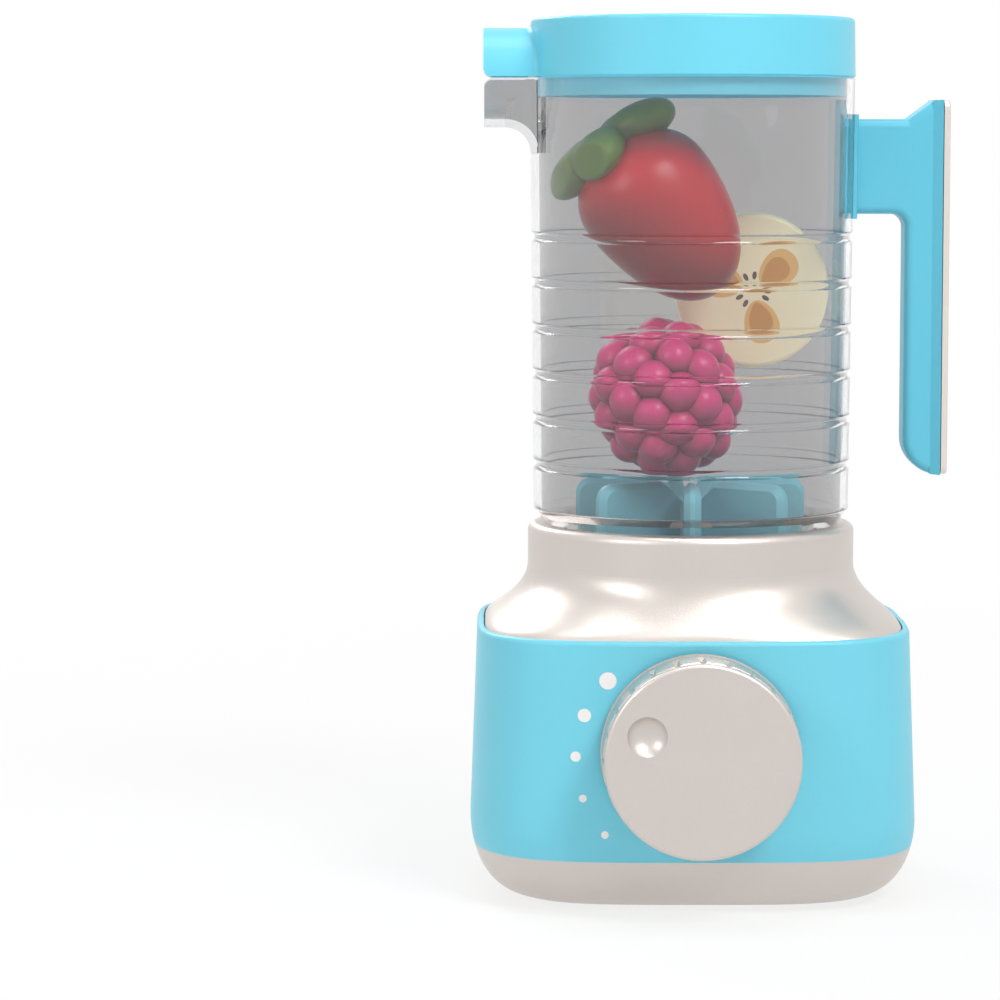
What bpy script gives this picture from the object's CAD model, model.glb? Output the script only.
import logging
import math
from dataclasses import dataclass, field
from enum import Enum

import bmesh
import bpy
from mathutils import Matrix, Vector
from mathutils.bvhtree import BVHTree


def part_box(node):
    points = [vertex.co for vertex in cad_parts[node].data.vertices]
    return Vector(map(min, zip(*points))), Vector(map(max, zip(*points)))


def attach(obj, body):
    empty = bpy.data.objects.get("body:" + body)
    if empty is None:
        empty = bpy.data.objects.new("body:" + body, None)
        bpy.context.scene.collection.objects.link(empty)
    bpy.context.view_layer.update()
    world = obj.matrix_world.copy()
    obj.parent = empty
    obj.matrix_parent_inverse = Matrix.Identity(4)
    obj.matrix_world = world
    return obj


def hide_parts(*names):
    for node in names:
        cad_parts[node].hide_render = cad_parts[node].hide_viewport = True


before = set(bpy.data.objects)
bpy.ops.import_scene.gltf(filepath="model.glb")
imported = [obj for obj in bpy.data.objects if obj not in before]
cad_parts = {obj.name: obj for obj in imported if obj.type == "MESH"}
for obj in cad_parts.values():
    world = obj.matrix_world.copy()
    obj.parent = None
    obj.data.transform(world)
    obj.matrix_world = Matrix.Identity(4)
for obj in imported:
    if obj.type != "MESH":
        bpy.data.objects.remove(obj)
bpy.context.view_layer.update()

log = logging.getLogger("toy_blender")

Colour = tuple[float, float, float]
MM = 0.001


class Side(Enum):
    """Which way a flat detail faces along the depth axis."""

    FRONT = -1
    BACK = 1


def written(red: int, green: int, blue: int) -> Colour:
    """Turns a colour in screen values into the linear values that shaders take.

    Args:
        red: Red from 0 to 255.
        green: Green from 0 to 255.
        blue: Blue from 0 to 255.

    Returns:
        The same colour in linear values.
    """
    def linear(value: float) -> float:
        """Turns one channel into its linear value.

        Args:
            value: The channel from 0 to 255.

        Returns:
            The linear value from 0 to 1.
        """
        share = value / 255
        return share / 12.92 if share <= 0.04045 else ((share + 0.055) / 1.055) ** 2.4

    return linear(red), linear(green), linear(blue)


# ------------------------------------------------------------------ node trees
class Wiring:
    """Adds nodes to a tree and links them."""

    def __init__(self, tree: bpy.types.NodeTree) -> None:
        """Starts on a tree and clears it.

        Args:
            tree: The shader or geometry tree to fill.
        """
        self.tree = tree
        tree.nodes.clear()

    def add(self, kind: str, inputs: dict | None = None,
            **settings: object) -> bpy.types.Node:
        """Adds a node.

        Args:
            kind: The node's type name.
            inputs: Values or output sockets for its inputs, by name or number.
            settings: Attributes of the node.

        Returns:
            The new node.
        """
        node = self.tree.nodes.new(kind)
        for name, value in settings.items():
            setattr(node, name, value)
        for key, value in (inputs or {}).items():
            self.feed(node, key, value)
        return node

    def feed(self, node: bpy.types.Node, key: str | int, value: object) -> None:
        """Sets an input's value, or links an output socket to it.

        Args:
            node: The node whose input is set.
            key: The input's name or number.
            value: A plain value, or another node's output socket.
        """
        socket = node.inputs[key]
        if isinstance(value, bpy.types.NodeSocket):
            self.tree.links.new(value, socket)
        else:
            socket.default_value = value

    def maths(self, operation: str, first: object, second: object = 0.0) -> bpy.types.NodeSocket:
        """Adds a Math node.

        Args:
            operation: The node's operation.
            first: Its first value or output socket.
            second: Its second value or output socket.

        Returns:
            The node's output socket.
        """
        node = self.add("ShaderNodeMath", {0: first, 1: second}, operation=operation)
        return node.outputs[0]


class GrainGroup:
    """Shader group that gives moulded plastic its fine grain, mottle and uneven gloss."""

    name = "moulded_grain"
    cloud_scale = 38.0
    speck_share = 0.8

    @classmethod
    def get(cls) -> bpy.types.NodeTree:
        """Builds the group the first time.

        Returns:
            The one shared group.
        """
        tree = bpy.data.node_groups.get(cls.name)
        if tree is None:
            tree = bpy.data.node_groups.new(cls.name, "ShaderNodeTree")
            cls.build(tree)
        return tree

    @classmethod
    def build(cls, tree: bpy.types.NodeTree) -> None:
        """Fills the tree.

        Args:
            tree: The new group.
        """
        sockets = tree.interface
        for name, kind, value in (("Colour", "NodeSocketColor", (1, 1, 1, 1)),
                                  ("Grain Scale", "NodeSocketFloat", 1200.0),
                                  ("Mottle", "NodeSocketFloat", 0.04),
                                  ("Roughness", "NodeSocketFloat", 0.4),
                                  ("Unevenness", "NodeSocketFloat", 0.05)):
            socket = sockets.new_socket(name, in_out="INPUT", socket_type=kind)
            socket.default_value = value
        for name, kind in (("Colour", "NodeSocketColor"), ("Roughness", "NodeSocketFloat"),
                           ("Height", "NodeSocketFloat")):
            sockets.new_socket(name, in_out="OUTPUT", socket_type=kind)
        wiring = Wiring(tree)
        inlet = wiring.add("NodeGroupInput")
        place = wiring.add("ShaderNodeTexCoord").outputs["Object"]
        cloud = wiring.add("ShaderNodeTexNoise", {"Vector": place, "Detail": 3.0,
                                                  "Scale": cls.cloud_scale})
        fine = wiring.add("ShaderNodeTexNoise", {"Vector": place, "Detail": 1.0,
                                                 "Scale": inlet.outputs["Grain Scale"]})
        shift = wiring.maths("SUBTRACT", cloud.outputs["Fac"], 0.5)
        speck = wiring.maths("SUBTRACT", fine.outputs["Fac"], 0.5)
        both = wiring.maths("ADD", shift, wiring.maths("MULTIPLY", speck, cls.speck_share))
        swing = wiring.maths("MULTIPLY", both, inlet.outputs["Mottle"])
        gain = wiring.maths("ADD", wiring.maths("MULTIPLY", swing, 2.0), 1.0)
        tinted = wiring.add("ShaderNodeVectorMath", {0: inlet.outputs["Colour"], "Scale": gain},
                            operation="SCALE")
        rough = wiring.maths("MULTIPLY", shift, inlet.outputs["Unevenness"])
        rough = wiring.maths("ADD", rough, inlet.outputs["Roughness"])
        wiring.add("NodeGroupOutput", {"Colour": tinted.outputs[0], "Roughness": rough,
                                       "Height": fine.outputs["Fac"]})


# -------------------------------------------------------------------- finishes
@dataclass(frozen=True)
class Moulded:
    """A moulded, painted or metal surface with a fine grain.

    Lengths are in metres. Crevice is how far the shade in narrow gaps reaches, and underside is
    how much darker the faces that look down are; nought leaves either out.
    """

    name: str
    colour: Colour
    roughness: float = 0.4
    metallic: float = 0.0
    mottle: float = 0.04
    unevenness: float = 0.06
    grain_scale: float = 1500.0
    grain_depth: float = 0.00002
    coat: float = 0.0
    coat_roughness: float = 0.08
    crevice: float = 0.0
    underside: float = 0.0
    down_face: float = -0.8
    up_face: float = 0.6

    def make(self) -> bpy.types.Material:
        """Builds the material, or returns it if it is there.

        Returns:
            The material.
        """
        label = self.name + "_finish"
        found = bpy.data.materials.get(label)
        if found is not None:
            return found
        material = bpy.data.materials.new(label)
        material.use_nodes = True
        wiring = Wiring(material.node_tree)
        grain = wiring.add("ShaderNodeGroup", node_tree=GrainGroup.get())
        wiring.feed(grain, "Colour", (*self.colour, 1.0))
        wiring.feed(grain, "Grain Scale", self.grain_scale)
        wiring.feed(grain, "Mottle", self.mottle)
        wiring.feed(grain, "Roughness", self.roughness)
        wiring.feed(grain, "Unevenness", self.unevenness)
        bump = wiring.add("ShaderNodeBump", {"Height": grain.outputs["Height"], "Strength": 1.0,
                                             "Distance": self.grain_depth})
        tint = grain.outputs["Colour"]
        if self.crevice > 0.0:
            closed = wiring.add("ShaderNodeAmbientOcclusion", {
                "Color": tint, "Distance": self.crevice}, samples=8, only_local=True)
            tint = closed.outputs["Color"]
        if self.underside > 0.0:
            tint = self.shaded(wiring, tint)
        surface = wiring.add("ShaderNodeBsdfPrincipled", {
            "Base Color": tint, "Roughness": grain.outputs["Roughness"],
            "Metallic": self.metallic, "Normal": bump.outputs["Normal"],
            "Coat Weight": self.coat, "Coat Roughness": self.coat_roughness})
        wiring.add("ShaderNodeOutputMaterial", {"Surface": surface.outputs[0]})
        material.diffuse_color = (*self.colour, 1.0)
        return material

    def shaded(self, wiring: Wiring, tint: bpy.types.NodeSocket) -> bpy.types.NodeSocket:
        """Deepens a colour on the faces that look down.

        Args:
            wiring: The material's wiring.
            tint: The colour to deepen.

        Returns:
            The deepened colour.
        """
        normal = wiring.add("ShaderNodeSeparateXYZ", {
            0: wiring.add("ShaderNodeNewGeometry").outputs["Normal"]})
        level = wiring.add("ShaderNodeMapRange", {
            "Value": normal.outputs["Z"], "From Min": self.down_face, "From Max": self.up_face,
            "To Min": 1.0 - self.underside, "To Max": 1.0}, interpolation_type="SMOOTHSTEP")
        deeper = wiring.add("ShaderNodeVectorMath", {0: tint, 1: level.outputs[0]},
                            operation="MULTIPLY")
        return deeper.outputs[0]


@dataclass(frozen=True)
class Clear:
    """Clear tinted plastic that lets light through to what it holds.

    The wall nearest the eye takes the near tint and the walls beyond it the far tint. Near
    surfaces is how many surfaces a ray has passed when the far tint takes over.
    """

    name: str
    near_tint: Colour
    far_tint: Colour
    shadow: Colour
    near_surfaces: float = 1.5
    roughness: float = 0.02
    index: float = 1.16
    coat: float = 1.0
    coat_index: float = 1.54
    grain_scale: float = 60.0
    grain_depth: float = 0.000004
    viewport_alpha: float = 0.35

    def make(self) -> bpy.types.Material:
        """Builds the material.

        Returns:
            The material.
        """
        material = bpy.data.materials.new(self.name + "_finish")
        material.use_nodes = True
        wiring = Wiring(material.node_tree)
        grain = wiring.add("ShaderNodeGroup", node_tree=GrainGroup.get())
        wiring.feed(grain, "Grain Scale", self.grain_scale)
        wiring.feed(grain, "Roughness", self.roughness)
        wiring.feed(grain, "Unevenness", self.roughness)
        bump = wiring.add("ShaderNodeBump", {"Height": grain.outputs["Height"], "Strength": 1.0,
                                             "Distance": self.grain_depth})
        path = wiring.add("ShaderNodeLightPath")
        beyond = wiring.maths("GREATER_THAN", path.outputs["Transmission Depth"],
                              self.near_surfaces)
        tint = wiring.add("ShaderNodeMix", {
            0: beyond, 6: (*self.near_tint, 1.0), 7: (*self.far_tint, 1.0)}, data_type="RGBA")
        glass = wiring.add("ShaderNodeBsdfPrincipled", {
            "Base Color": tint.outputs[2], "Roughness": grain.outputs["Roughness"],
            "Transmission Weight": 1.0, "IOR": self.index, "Coat Weight": self.coat,
            "Coat IOR": self.coat_index, "Coat Roughness": self.roughness,
            "Normal": bump.outputs["Normal"]})
        through = wiring.add("ShaderNodeBsdfTransparent", {"Color": (*self.shadow, 1.0)})
        lighting = wiring.maths("MAXIMUM", path.outputs["Is Shadow Ray"],
                                path.outputs["Is Diffuse Ray"])
        mix = wiring.add("ShaderNodeMixShader", {0: lighting, 1: glass.outputs[0],
                                                 2: through.outputs[0]})
        wiring.add("ShaderNodeOutputMaterial", {"Surface": mix.outputs[0]})
        material.diffuse_color = (*self.near_tint, self.viewport_alpha)
        return material


CYAN_BODY = Moulded("cyan_body", written(118, 212, 233), roughness=0.42, mottle=0.02)
CYAN_LID = Moulded("cyan_lid", written(114, 215, 238), roughness=0.36, mottle=0.015)
CYAN_GRIP = Moulded("cyan_grip", written(98, 196, 220), roughness=0.42, mottle=0.02)
CYAN_BLADE = Moulded("cyan_blade", written(120, 196, 212), roughness=0.4, mottle=0.02)
PEARL = Moulded("pearl_paint", written(210, 202, 196), roughness=0.36, metallic=0.85,
                mottle=0.03, grain_scale=2600.0, grain_depth=0.00003)
PEARL_STRIP = Moulded("pearl_strip", written(225, 217, 210), roughness=0.3, metallic=0.6,
                      mottle=0.02, grain_scale=2600.0)
WHITE_PRINT = Moulded("white_print", written(246, 244, 243), roughness=0.5, mottle=0.01)
RUBBER = Moulded("grey_rubber", written(96, 96, 98), roughness=0.8, mottle=0.1,
                 grain_scale=900.0, grain_depth=0.00008)
BERRY = Moulded("strawberry_red", written(214, 24, 42), roughness=0.3, mottle=0.05, coat=0.25,
                underside=0.75)
LEAF = Moulded("leaf_green", written(98, 132, 48), roughness=0.35, mottle=0.08, coat=0.2,
               crevice=0.006, underside=0.5)
BANANA = Moulded("banana_cream", written(255, 243, 204), roughness=0.4, mottle=0.03)
BANANA_LOBE = Moulded("banana_pocket", written(240, 188, 106), roughness=0.4, mottle=0.04)
BANANA_CORE = Moulded("banana_core", written(214, 150, 66), roughness=0.4, mottle=0.06)
SEED = Moulded("banana_seed", written(96, 66, 48), roughness=0.5, mottle=0.1)
RASPBERRY = Moulded("raspberry_pink", written(226, 46, 128), roughness=0.28, mottle=0.05,
                    coat=0.3, crevice=0.009, underside=0.65)
STEEL = Moulded("plain_steel", written(196, 197, 199), roughness=0.3, metallic=1.0,
                mottle=0.05, grain_scale=2200.0)
ZINC = Moulded("zinc_screw", written(190, 190, 192), roughness=0.4, metallic=1.0, mottle=0.08)
CELL = Moulded("cell_sleeve", written(60, 64, 72), roughness=0.35, metallic=0.4, mottle=0.05)
GEAR = Moulded("gear_white", written(238, 236, 230), roughness=0.45, mottle=0.02)
BUSH = Moulded("bush_grey", written(150, 150, 150), roughness=0.5, mottle=0.04)
COUPLER = Moulded("coupler_grey", written(96, 98, 102), roughness=0.5, mottle=0.05)
SWITCH = Moulded("switch_black", written(36, 36, 38), roughness=0.45, mottle=0.08)
BOARD = Moulded("board_green", written(36, 98, 62), roughness=0.4, mottle=0.12)
MOTOR_END = Moulded("motor_end", written(226, 221, 206), roughness=0.5, mottle=0.03)
SMOKE = Clear("smoke_clear", (0.78, 0.78, 0.785), (0.46, 0.46, 0.465), (0.99, 0.99, 0.99))


def dress(piece: bpy.types.Object, finish: Moulded | Clear) -> None:
    """Gives every face of a piece one finish.

    Args:
        piece: The piece.
        finish: Its finish.
    """
    piece.data.materials.clear()
    piece.data.materials.append(finish.make())


def new_piece(name: str, mesh: bmesh.types.BMesh, body: str, finish: Moulded) -> bpy.types.Object:
    """Turns a bmesh into a finished flat-shaded piece that rides on a body.

    Args:
        name: The piece's name.
        mesh: Its geometry, in place.
        body: The body it rides on.
        finish: Its finish.

    Returns:
        The new object.
    """
    data = bpy.data.meshes.new(name)
    mesh.to_mesh(data)
    mesh.free()
    piece = bpy.data.objects.new(name, data)
    bpy.context.collection.objects.link(piece)
    dress(piece, finish)
    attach(piece, body)
    return piece


def baked(carrier: bpy.types.Object, name: str) -> bpy.types.Object:
    """Turns an object with a live modifier into a plain mesh object.

    Args:
        carrier: The object, which is removed.
        name: The new object's name.

    Returns:
        The plain object at the origin.
    """
    graph = bpy.context.evaluated_depsgraph_get()
    data = bpy.data.meshes.new_from_object(carrier.evaluated_get(graph), depsgraph=graph)
    data.name = name
    bpy.data.objects.remove(carrier)
    piece = bpy.data.objects.new(name, data)
    bpy.context.collection.objects.link(piece)
    return piece


# ---------------------------------------------------------------- sub-assemblies
@dataclass
class Casing:
    """Base with its tray, shell, collar, feet and printed level dots.

    Angles are in degrees round the dial's axis, lengths in millimetres.
    """

    dot_angles: tuple[float, ...] = (142.3, 162.7, 182.6, 202.2, 221.6)
    dot_reach: tuple[float, ...] = (33.4, 34.75, 35.7, 36.3, 36.4)
    dot_diameters: tuple[float, ...] = (5.0, 3.9, 3.0, 2.25, 2.25)
    dial_height: float = 48.4
    dot_sides: int = 40
    dot_rings: int = 4
    print_lift: float = 0.04
    cast_from: float = -200.0

    def build(self) -> None:
        """Dresses the casing and prints its dots."""
        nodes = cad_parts
        dress(nodes["base_tray"], PEARL)
        dress(nodes["body_shell"], CYAN_BODY)
        dress(nodes["collar_cover"], PEARL)
        dress(nodes["battery_door"], PEARL)
        dress(nodes["rubber_feet"], RUBBER)
        self.print_dots()

    def print_dots(self) -> None:
        """Prints the row of dots, large to small, on the shell's front wall."""
        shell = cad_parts["body_shell"]
        tree = BVHTree.FromObject(shell, bpy.context.evaluated_depsgraph_get())
        mesh = bmesh.new()
        for angle, reach, size in zip(self.dot_angles, self.dot_reach, self.dot_diameters):
            turn = math.radians(angle)
            centre = Vector((reach * math.cos(turn), 0, self.dial_height + reach * math.sin(turn)))
            self.disc(mesh, tree, centre, size / 2)
        new_piece("level_dots", mesh, "base", WHITE_PRINT)
        log.info("level dots printed")

    def disc(self, mesh: bmesh.types.BMesh, wall: BVHTree, centre: Vector,
             radius: float) -> None:
        """Adds one round dot that follows the wall behind it.

        Args:
            mesh: Where the dot goes.
            wall: The wall it is printed on.
            centre: The dot's centre, in millimetres.
            radius: The dot's radius, in millimetres.
        """
        def printed(reach: float, turn: float) -> bmesh.types.BMVert:
            """Adds a vertex just in front of the wall.

            Args:
                reach: Its distance from the dot's centre, in millimetres.
                turn: Its direction from the centre, in radians.

            Returns:
                The new vertex.
            """
            start = centre + Vector((reach * math.cos(turn), self.cast_from,
                                     reach * math.sin(turn)))
            hit = wall.ray_cast(start * MM, Vector((0, 1, 0)))[0]
            return mesh.verts.new(hit + Vector((0, -self.print_lift * MM, 0)))

        middle = printed(0.0, 0.0)
        inner = None
        for ring_number in range(1, self.dot_rings + 1):
            reach = radius * ring_number / self.dot_rings
            ring = [printed(reach, 2 * math.pi * number / self.dot_sides)
                    for number in range(self.dot_sides)]
            for number, vert in enumerate(ring):
                after = (number + 1) % self.dot_sides
                if inner is None:
                    mesh.faces.new((middle, vert, ring[after]))
                else:
                    mesh.faces.new((inner[number], vert, ring[after], inner[after]))
            inner = ring


@dataclass
class Drive:
    """Cells, motor, gears and switch inside the base."""

    finishes: dict[str, Moulded] = field(default_factory=lambda: {
        "casing_screws": ZINC, "collar_screws": ZINC, "gearbox_screws": ZINC,
        "motor_screws": ZINC, "board_screws": ZINC, "battery_door_screw": ZINC,
        "battery_cells": CELL, "battery_springs": STEEL, "battery_contacts": STEEL,
        "gearbox_plate": GEAR, "motor_can": STEEL, "motor_end_cap": MOTOR_END,
        "motor_shaft": STEEL, "motor_pinion": GEAR, "idler_gear": GEAR, "idler_pin": STEEL,
        "drive_gear": GEAR, "drive_shaft": STEEL, "drive_clip": STEEL, "lower_bush": BUSH,
        "upper_bush": BUSH, "drive_coupler": COUPLER, "detent_wheel": GEAR,
        "detent_spring": STEEL, "speed_switch": SWITCH, "switch_board": BOARD,
        "board_components": SWITCH, "blade_bush": BUSH, "blade_shaft": STEEL,
        "blade_washer": STEEL, "coupling_socket": COUPLER})

    def build(self) -> None:
        """Dresses every inner node."""
        for name, finish in self.finishes.items():
            dress(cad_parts[name], finish)
        log.info("%d inner nodes dressed", len(self.finishes))


@dataclass
class Dial:
    """Speed dial with its notched ring and dimpled cap."""

    def build(self) -> None:
        """Dresses the dial."""
        dress(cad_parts["dial_ring"], PEARL)
        dress(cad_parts["dial_cap"], PEARL)


@dataclass
class Jug:
    """Clear jug with its handle, lid and blades."""

    def build(self) -> None:
        """Dresses the jug and what belongs to it."""
        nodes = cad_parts
        dress(nodes["jug_shell"], SMOKE)
        dress(nodes["handle_grip"], CYAN_GRIP)
        dress(nodes["handle_strip"], PEARL_STRIP)
        dress(nodes["lid"], CYAN_LID)
        dress(nodes["blade_impeller"], CYAN_BLADE)


@dataclass
class PlayFood:
    """Strawberry, banana slice and raspberry inside the jug.

    Lengths are in millimetres, turns in degrees. An outline is a distance from the slice's
    centre, a half length, a half width and a taper.
    """

    drupelet_count: int = 52
    drupelet_radius: float = 6.3
    drupelet_taper: float = 0.06
    drupelet_least: float = 0.93
    drupelet_most: float = 1.06
    drupelet_seed: int = 7
    raspberry_lean: float = -20.0
    jug_inside: float = 44.4
    leaf_swell: float = 2.4
    leaf_voxel: float = 0.6
    leaf_merge: float = 0.01
    leaf_rounds: int = 10
    pocket_turns: tuple[float, ...] = (40.0, 163.0, -75.0)
    pocket_outline: tuple[float, float, float, float] = (9.8, 6.6, 5.2, 0.22)
    core_outline: tuple[float, float, float, float] = (8.6, 4.8, 3.4, 0.4)
    seed_outline: tuple[float, float, float, float] = (4.5, 1.2, 0.65, 0.0)
    seed_spread: float = 44.0
    pad_points: int = 40
    pad_lift: float = 0.05
    pad_depth: float = 0.5

    def build(self) -> None:
        """Builds and dresses the pieces."""
        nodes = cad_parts
        dress(nodes["strawberry_body"], BERRY)
        self.leaves()
        dress(nodes["banana_slice"], BANANA)
        self.banana_marks()
        self.raspberry()

    def leaves(self) -> None:
        """Swells the strawberry's leaves into one soft moulded calyx."""
        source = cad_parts["strawberry_leaves"]
        mesh = bmesh.new()
        mesh.from_mesh(source.data)
        bmesh.ops.remove_doubles(mesh, verts=mesh.verts, dist=self.leaf_merge * MM)
        mesh.normal_update()
        limit = self.jug_inside * MM
        for vert in mesh.verts:
            vert.co += vert.normal * self.leaf_swell * MM
            reach = math.hypot(vert.co.x, vert.co.y)
            if reach > limit:
                vert.co.x *= limit / reach
                vert.co.y *= limit / reach
        data = bpy.data.meshes.new("calyx_seed")
        mesh.to_mesh(data)
        mesh.free()
        carrier = bpy.data.objects.new("calyx_carrier", data)
        bpy.context.collection.objects.link(carrier)
        remesh = carrier.modifiers.new("joined", "REMESH")
        remesh.mode = "VOXEL"
        remesh.voxel_size = self.leaf_voxel * MM
        remesh.use_smooth_shade = True
        soften = carrier.modifiers.new("softened", "SMOOTH")
        soften.factor = 0.5
        soften.iterations = self.leaf_rounds
        piece = baked(carrier, "strawberry_calyx")
        dress(piece, LEAF)
        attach(piece, "jug")
        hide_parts("strawberry_leaves")
        log.info("calyx: %d faces", len(piece.data.polygons))

    def banana_marks(self) -> None:
        """Lays three seed pockets and their seeds on both faces of the slice."""
        low, high = (Vector(corner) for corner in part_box("banana_slice"))
        centre = (low + high) / 2
        pale, tan, seeds = bmesh.new(), bmesh.new(), bmesh.new()
        for side in Side:
            face_y = low.y if side is Side.FRONT else high.y
            for turn in self.pocket_turns:
                self.pad(pale, centre, face_y, side, turn, self.pocket_outline, 1)
                self.pad(tan, centre, face_y, side, turn, self.core_outline, 2)
                for seed_turn in (turn - self.seed_spread, turn + self.seed_spread):
                    self.pad(seeds, centre, face_y, side, seed_turn, self.seed_outline, 3)
        new_piece("banana_pockets", pale, "jug", BANANA_LOBE)
        new_piece("banana_cores", tan, "jug", BANANA_CORE)
        new_piece("banana_seeds", seeds, "jug", SEED)

    def pad(self, mesh: bmesh.types.BMesh, centre: Vector, face_y: float, side: Side,
            turn: float, outline: tuple[float, float, float, float], layer: int) -> None:
        """Adds one egg-shaped pad that stands a little proud of the slice.

        Args:
            mesh: Where the pad goes.
            centre: The slice's centre, in metres.
            face_y: The face's place along the depth axis, in metres.
            side: Which face it is.
            turn: The pad's direction from the centre, in degrees.
            outline: Distance, half length, half width and taper, in millimetres.
            layer: How many lifts it stands above the face.
        """
        reach, half_long, half_wide, taper = outline
        angle = math.radians(turn)
        out = Vector((math.cos(angle), 0, math.sin(angle)))
        across = Vector((-out.z, 0, out.x))
        top_y = face_y + side.value * layer * self.pad_lift * MM
        ring = []
        for number in range(self.pad_points):
            step = 2 * math.pi * number / self.pad_points
            along = math.cos(step)
            wide = half_wide * math.sin(step) * (1 + taper * along)
            place = centre + (out * (reach + half_long * along) + across * wide) * MM
            ring.append(Vector((place.x, top_y, place.z)))
        deep = Vector((0, -side.value * self.pad_depth * MM, 0))
        tops = [mesh.verts.new(place) for place in ring]
        bottoms = [mesh.verts.new(place + deep) for place in ring]
        faces = [mesh.faces.new(tops), mesh.faces.new(bottoms)]
        for number, top in enumerate(tops):
            after = (number + 1) % len(tops)
            faces.append(mesh.faces.new((top, tops[after], bottoms[after], bottoms[number])))
        bmesh.ops.recalc_face_normals(mesh, faces=faces)

    def drupelet_tree(self) -> bpy.types.NodeTree:
        """Builds the node tree that lays round drupelets over an egg.

        Returns:
            The geometry node group.
        """
        tree = bpy.data.node_groups.new("drupelets_on_egg", "GeometryNodeTree")
        sockets = tree.interface
        sockets.new_socket("Geometry", in_out="OUTPUT", socket_type="NodeSocketGeometry")
        for name, kind, value in (("Count", "NodeSocketInt", 60),
                                  ("Radius", "NodeSocketFloat", 0.02),
                                  ("Half Height", "NodeSocketFloat", 0.02),
                                  ("Taper", "NodeSocketFloat", 0.1),
                                  ("Drupelet Radius", "NodeSocketFloat", 0.005),
                                  ("Material", "NodeSocketMaterial", None)):
            socket = sockets.new_socket(name, in_out="INPUT", socket_type=kind)
            if value is not None:
                socket.default_value = value
        wiring = Wiring(tree)
        inlet = wiring.add("NodeGroupInput")
        count = inlet.outputs["Count"]
        line = wiring.add("GeometryNodeMeshLine", {"Count": count})
        index = wiring.add("GeometryNodeInputIndex").outputs[0]
        share = wiring.maths("DIVIDE", wiring.maths("ADD", index, 0.5), count)
        level = wiring.maths("SUBTRACT", 1.0, wiring.maths("MULTIPLY", share, 2.0))
        ring = wiring.maths("SQRT", wiring.maths("SUBTRACT", 1.0,
                                                 wiring.maths("MULTIPLY", level, level)))
        golden_angle = math.pi * (3 - math.sqrt(5))
        turn = wiring.maths("MULTIPLY", index, golden_angle)
        narrow = wiring.maths("MULTIPLY", level, inlet.outputs["Taper"])
        narrow = wiring.maths("ADD", narrow, wiring.maths("SUBTRACT", 1.0, inlet.outputs["Taper"]))
        reach = wiring.maths("MULTIPLY", ring, inlet.outputs["Radius"])
        reach = wiring.maths("MULTIPLY", reach, narrow)
        across = wiring.maths("MULTIPLY", wiring.maths("COSINE", turn), reach)
        along = wiring.maths("MULTIPLY", wiring.maths("SINE", turn), reach)
        height = wiring.maths("MULTIPLY", level, inlet.outputs["Half Height"])
        place = wiring.add("ShaderNodeCombineXYZ", {"X": across, "Y": along, "Z": height})
        laid = wiring.add("GeometryNodeSetPosition", {"Geometry": line.outputs[0],
                                                      "Position": place.outputs[0]})
        ball = wiring.add("GeometryNodeMeshIcoSphere", {"Radius": inlet.outputs["Drupelet Radius"],
                                                        "Subdivisions": 4})
        swing = wiring.add("FunctionNodeRandomValue", {
            "Min": (self.drupelet_least,) * 3, "Max": (self.drupelet_most,) * 3,
            "Seed": self.drupelet_seed}, data_type="FLOAT_VECTOR")
        placed = wiring.add("GeometryNodeInstanceOnPoints", {
            "Points": laid.outputs[0], "Instance": ball.outputs[0], "Scale": swing.outputs[0]})
        core = wiring.add("GeometryNodeMeshUVSphere", {"Segments": 32, "Rings": 16})
        radius = inlet.outputs["Radius"]
        scale = wiring.add("ShaderNodeCombineXYZ", {"X": radius, "Y": radius,
                                                    "Z": inlet.outputs["Half Height"]})
        sized = wiring.add("GeometryNodeTransform", {"Geometry": core.outputs[0],
                                                     "Scale": scale.outputs[0]})
        joined = wiring.add("GeometryNodeJoinGeometry")
        tree.links.new(placed.outputs[0], joined.inputs[0])
        tree.links.new(sized.outputs[0], joined.inputs[0])
        solid = wiring.add("GeometryNodeRealizeInstances", {0: joined.outputs[0]})
        smooth = wiring.add("GeometryNodeSetShadeSmooth", {0: solid.outputs[0]})
        coated = wiring.add("GeometryNodeSetMaterial", {"Geometry": smooth.outputs[0],
                                                        "Material": inlet.outputs["Material"]})
        wiring.add("NodeGroupOutput", {0: coated.outputs[0]})
        return tree

    def raspberry(self) -> None:
        """Covers the raspberry's egg with drupelets and replaces the plain egg."""
        low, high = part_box("raspberry")
        centre = (Vector(low) + Vector(high)) / 2
        half = (Vector(high) - Vector(low)) / 2
        inset = self.drupelet_radius * MM * self.drupelet_most
        tree = self.drupelet_tree()
        carrier = bpy.data.objects.new("raspberry_carrier", bpy.data.meshes.new("raspberry_seed"))
        bpy.context.collection.objects.link(carrier)
        modifier = carrier.modifiers.new("drupelets", "NODES")
        modifier.node_group = tree
        values = {"Taper": self.drupelet_taper, "Count": self.drupelet_count,
                  "Radius": half.x - inset, "Half Height": half.z - inset,
                  "Drupelet Radius": self.drupelet_radius * MM, "Material": RASPBERRY.make()}
        for item in tree.interface.items_tree:
            if item.in_out == "INPUT" and item.name in values:
                modifier[item.identifier] = values[item.name]
        piece = baked(carrier, "raspberry_drupelets")
        lean = Matrix.Rotation(math.radians(self.raspberry_lean), 4, "Y")
        piece.data.transform(Matrix.Translation(centre) @ lean)
        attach(piece, "jug")
        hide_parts("raspberry")
        log.info("raspberry: %d drupelets", self.drupelet_count)


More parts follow.
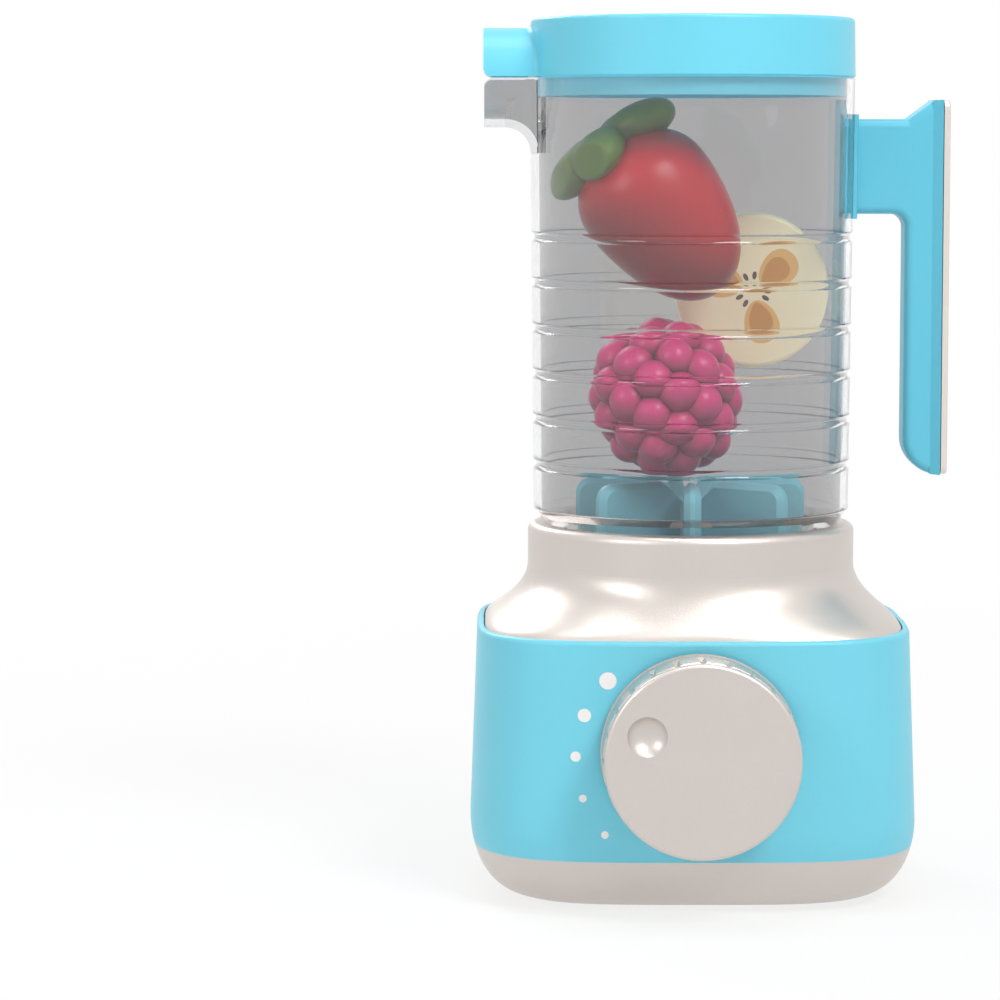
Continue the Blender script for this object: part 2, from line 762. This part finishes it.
# ---------------------------------------------------------------------- studio
@dataclass
class Studio:
    """Pale floor, soft lamps and the camera, in metres and degrees."""

    camera_place: tuple[float, float, float] = (-0.05747, -1.1226, 0.22202)
    camera_pitch: float = 5.412
    camera_lens: float = 134.55
    camera_film: float = 36.0
    camera_far: float = 40.0
    lamp_aim_height: float = 0.12
    floor_size: float = 16.0
    floor_drop: float = 0.0002
    floor_colour: Colour = (0.92, 0.92, 0.92)
    floor_glow: float = 0.78
    shadow_reach: float = 0.25
    shadow_end: float = 0.75
    world_level: float = 0.36

    def build(self) -> None:
        """Sets up the view, the floor and the light."""
        scene = bpy.context.scene
        scene.view_settings.view_transform = "Standard"
        data = bpy.data.cameras.new("camera")
        data.lens = self.camera_lens
        data.sensor_width = self.camera_film
        data.clip_end = self.camera_far
        camera = bpy.data.objects.new("camera", data)
        camera.location = self.camera_place
        camera.rotation_euler = (math.radians(90 - self.camera_pitch), 0, 0)
        bpy.context.collection.objects.link(camera)
        scene.camera = camera
        self.world()
        self.floor()
        self.lamp("key", (0.55, -0.85, 1.1), 0.5, 9.4)
        self.lamp("fill", (-0.9, -0.8, 0.7), 0.45, 2.8)
        self.lamp("top", (0.0, -0.1, 1.5), 0.7, 5.4)
        self.lamp("back", (-0.5, 1.0, 0.9), 0.5, 5.0)

    def world(self) -> None:
        """Even white surroundings, white to the camera and in reflections."""
        world = bpy.data.worlds.new("studio")
        world.use_nodes = True
        bpy.context.scene.world = world
        wiring = Wiring(world.node_tree)
        seen = self.seen(wiring)
        spread = wiring.maths("MULTIPLY", seen, 1.0 - self.world_level)
        level = wiring.maths("ADD", spread, self.world_level)
        back = wiring.add("ShaderNodeBackground", {"Color": (1, 1, 1, 1), "Strength": level})
        wiring.add("ShaderNodeOutputWorld", {"Surface": back.outputs[0]})

    @staticmethod
    def seen(wiring: Wiring) -> bpy.types.NodeSocket:
        """Marks the rays that show the background.

        Args:
            wiring: The tree to add the nodes to.

        Returns:
            One for camera, mirror and see-through rays, nought for the rest.
        """
        path = wiring.add("ShaderNodeLightPath")
        clear = wiring.maths("MAXIMUM", path.outputs["Is Transmission Ray"],
                             path.outputs["Is Glossy Ray"])
        return wiring.maths("MAXIMUM", path.outputs["Is Camera Ray"], clear)

    def floor(self) -> None:
        """Lays a white floor that keeps a faint shadow."""
        mesh = bmesh.new()
        bmesh.ops.create_grid(mesh, x_segments=1, y_segments=1, size=self.floor_size / 2)
        data = bpy.data.meshes.new("floor")
        mesh.to_mesh(data)
        mesh.free()
        floor = bpy.data.objects.new("floor", data)
        floor.location = (0, 0, -self.floor_drop)
        bpy.context.collection.objects.link(floor)
        material = bpy.data.materials.new("floor_white")
        material.use_nodes = True
        wiring = Wiring(material.node_tree)
        matt = wiring.add("ShaderNodeBsdfDiffuse", {"Color": (*self.floor_colour, 1)})
        glow = wiring.add("ShaderNodeEmission", {"Color": (1, 1, 1, 1), "Strength": 1.0})
        spot = wiring.add("ShaderNodeTexCoord").outputs["Object"]
        reach = wiring.add("ShaderNodeVectorMath", {0: spot}, operation="LENGTH")
        fade = wiring.add("ShaderNodeMapRange", {
            "Value": reach.outputs["Value"], "From Min": self.shadow_reach,
            "From Max": self.shadow_end, "To Min": self.floor_glow, "To Max": 1.0})
        share = wiring.maths("MULTIPLY", self.seen(wiring), fade.outputs["Result"])
        mix = wiring.add("ShaderNodeMixShader", {0: share, 1: matt.outputs[0],
                                                 2: glow.outputs[0]})
        under = wiring.add("ShaderNodeNewGeometry").outputs["Backfacing"]
        clear = wiring.add("ShaderNodeBsdfTransparent")
        sided = wiring.add("ShaderNodeMixShader", {0: under, 1: mix.outputs[0],
                                                   2: clear.outputs[0]})
        wiring.add("ShaderNodeOutputMaterial", {"Surface": sided.outputs[0]})
        floor.data.materials.append(material)

    def lamp(self, name: str, place: tuple[float, float, float], size: float,
             power: float) -> None:
        """Adds a square soft lamp that points at the jug.

        Args:
            name: The lamp's name.
            place: Where it stands, in metres.
            size: Its side, in metres.
            power: Its power, in watts.
        """
        data = bpy.data.lights.new(name, "AREA")
        data.shape = "SQUARE"
        data.size = size
        data.energy = power
        lamp = bpy.data.objects.new(name, data)
        lamp.location = place
        lamp.visible_camera = False
        lamp.visible_transmission = False
        aim = Vector((0, 0, self.lamp_aim_height)) - Vector(place)
        lamp.rotation_euler = aim.to_track_quat("-Z", "Y").to_euler()
        bpy.context.collection.objects.link(lamp)


def main() -> None:
    """Builds every part."""
    logging.basicConfig(level=logging.INFO, format="%(name)s: %(message)s")
    for part in (Casing(), Drive(), Dial(), Jug(), PlayFood(), Studio()):
        part.build()
        log.info("%s done", type(part).__name__)


if __name__ == "__main__":
    main()
